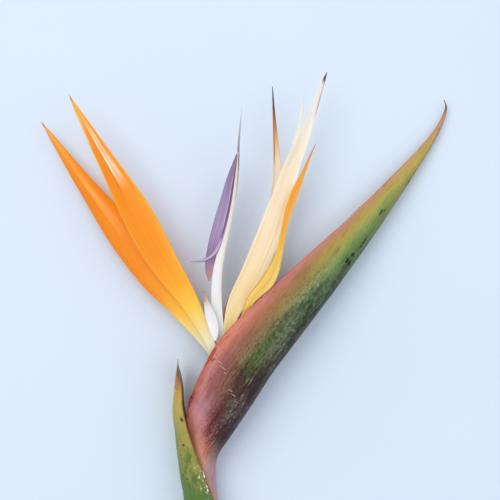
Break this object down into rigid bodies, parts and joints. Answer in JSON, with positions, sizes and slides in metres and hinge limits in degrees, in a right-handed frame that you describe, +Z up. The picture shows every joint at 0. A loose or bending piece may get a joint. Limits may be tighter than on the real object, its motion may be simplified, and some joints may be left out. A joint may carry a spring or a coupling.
{
  "type": "bird of paradise flower",
  "caption": "Cut bird of paradise flower lying on its side: orange sepals and a purple tongue rise from a folded, beak-shaped bract on a short length of stalk.",
  "frame": {"origin": "under the middle of the flower's box, on the surface that it lies on", "axes": "+Y from the cut end of the stalk towards the flower, +X towards the side that the beak of the folded bract points to, +Z up"},
  "size_m": [0.1642, 0.2712, 0.02],
  "materials": {
    "stalk": "smooth waxy green skin",
    "sheath": "yellow-green, drying brown at its point",
    "spathe": "satin, green to maroon with a whitish bloom",
    "orange_sepal": "satin orange, cream at its foot",
    "faded_sepal": "papery cream with a dried tip",
    "golden_sepal": "satin gold, orange at its tip",
    "purple_petal": "satin mauve wing on an ivory claw",
    "white_petal": "papery white",
    "style": "sticky pale mauve",
    "stamen": "matt cream",
    "ovary": "satin pale green",
    "bud": "satin pale gold"
  },
  "bodies": {
    "root": {"stalk": "stalk", "sheath_bract": "sheath", "spathe": "spathe", "sepal_upper": "orange_sepal", "sepal_lower": "orange_sepal", "sepal_under": "orange_sepal", "tongue_petal_near": "purple_petal", "tongue_petal_far": "purple_petal", "nectary_petal": "white_petal", "style": "style", "stamen_1": "stamen", "stamen_2": "stamen", "stamen_3": "stamen", "stamen_4": "stamen", "stamen_5": "stamen", "ovary": "ovary", "old_sepal_broad": "faded_sepal", "old_sepal_forward": "golden_sepal", "old_sepal_back": "faded_sepal", "old_ovary": "ovary", "bud_1": "bud", "bud_2": "bud"}
  },
  "joints": []
}
